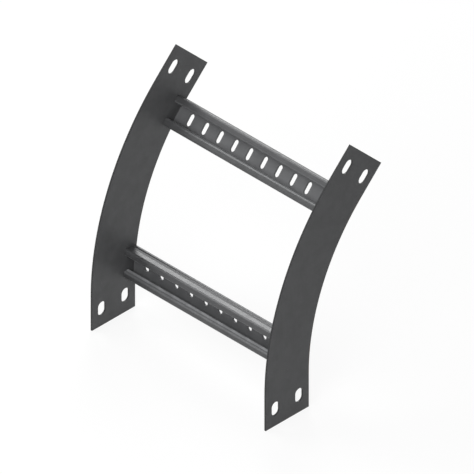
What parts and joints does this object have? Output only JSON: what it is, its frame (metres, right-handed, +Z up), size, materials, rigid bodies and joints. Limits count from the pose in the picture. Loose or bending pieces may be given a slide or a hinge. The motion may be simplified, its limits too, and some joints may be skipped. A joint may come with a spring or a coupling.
{
  "type": "cable ladder bend",
  "caption": "Vertical bend for a cable ladder: flat curved side plates joined by slotted channel rungs, with slots for coupler bolts at both ends.",
  "frame": {"origin": "middle of the lower end: midway between the side plates, and midway across their height", "axes": "+X along the rungs, from the left plate to the right one; +Y from the cable side to the inside of the bend; +Z up along the lower straight end"},
  "size_m": [0.298, 0.1967, 0.3495],
  "materials": {
    "side_plates": "smooth steel sheet, dark grey, satin, with darker cut edges",
    "rungs": "roll-formed steel strip, dark grey, satin, with brighter bends and faint lines along the rung",
    "welds": "rippled weld bead, dull dark grey"
  },
  "bodies": {
    "root": {"side_plate_left": "side_plates", "side_plate_right": "side_plates", "rung_lower": "rungs", "rung_upper": "rungs", "weld_lower_left": "welds", "weld_lower_right": "welds", "weld_upper_left": "welds", "weld_upper_right": "welds"}
  },
  "joints": []
}
